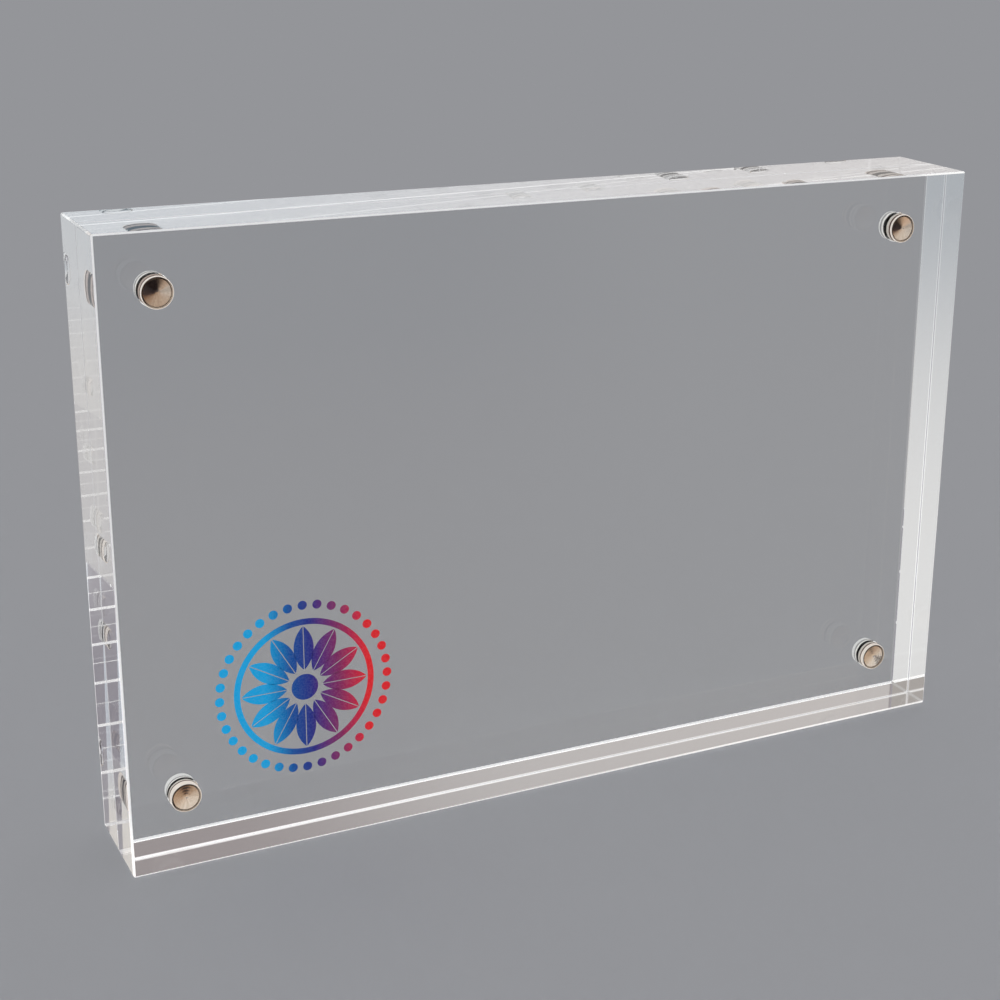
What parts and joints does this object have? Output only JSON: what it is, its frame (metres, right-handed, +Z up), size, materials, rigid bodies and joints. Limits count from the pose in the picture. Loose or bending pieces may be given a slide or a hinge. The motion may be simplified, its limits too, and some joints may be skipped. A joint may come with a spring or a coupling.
{
  "type": "acrylic block frame",
  "caption": "Clear acrylic block picture frame: a front and a back block held face to face by corner magnets, with room for a print between them.",
  "frame": {"origin": "middle of the base, on the surface that the frame stands on", "axes": "+X along the frame's width, +Y from the front face to the back face, +Z up"},
  "size_m": [0.1524, 0.019, 0.1016],
  "materials": {
    "clear_acrylic_front": "polished",
    "clear_acrylic_back": "polished",
    "nickel_plate_front": "gloss",
    "nickel_plate_back": "gloss"
  },
  "bodies": {
    "front_half": {"front_block": "clear_acrylic_front", "front_magnet_top_left": "nickel_plate_front", "front_magnet_top_right": "nickel_plate_front", "front_magnet_bottom_left": "nickel_plate_front", "front_magnet_bottom_right": "nickel_plate_front"},
    "back_half": {"back_block": "clear_acrylic_back", "back_magnet_top_left": "nickel_plate_back", "back_magnet_top_right": "nickel_plate_back", "back_magnet_bottom_left": "nickel_plate_back", "back_magnet_bottom_right": "nickel_plate_back"}
  },
  "joints": [
    {"name": "back_pull", "type": "slide", "parent": "front_half", "child": "back_half", "axis": [0, 1, 0], "range_m": [0, 0.05]}
  ]
}
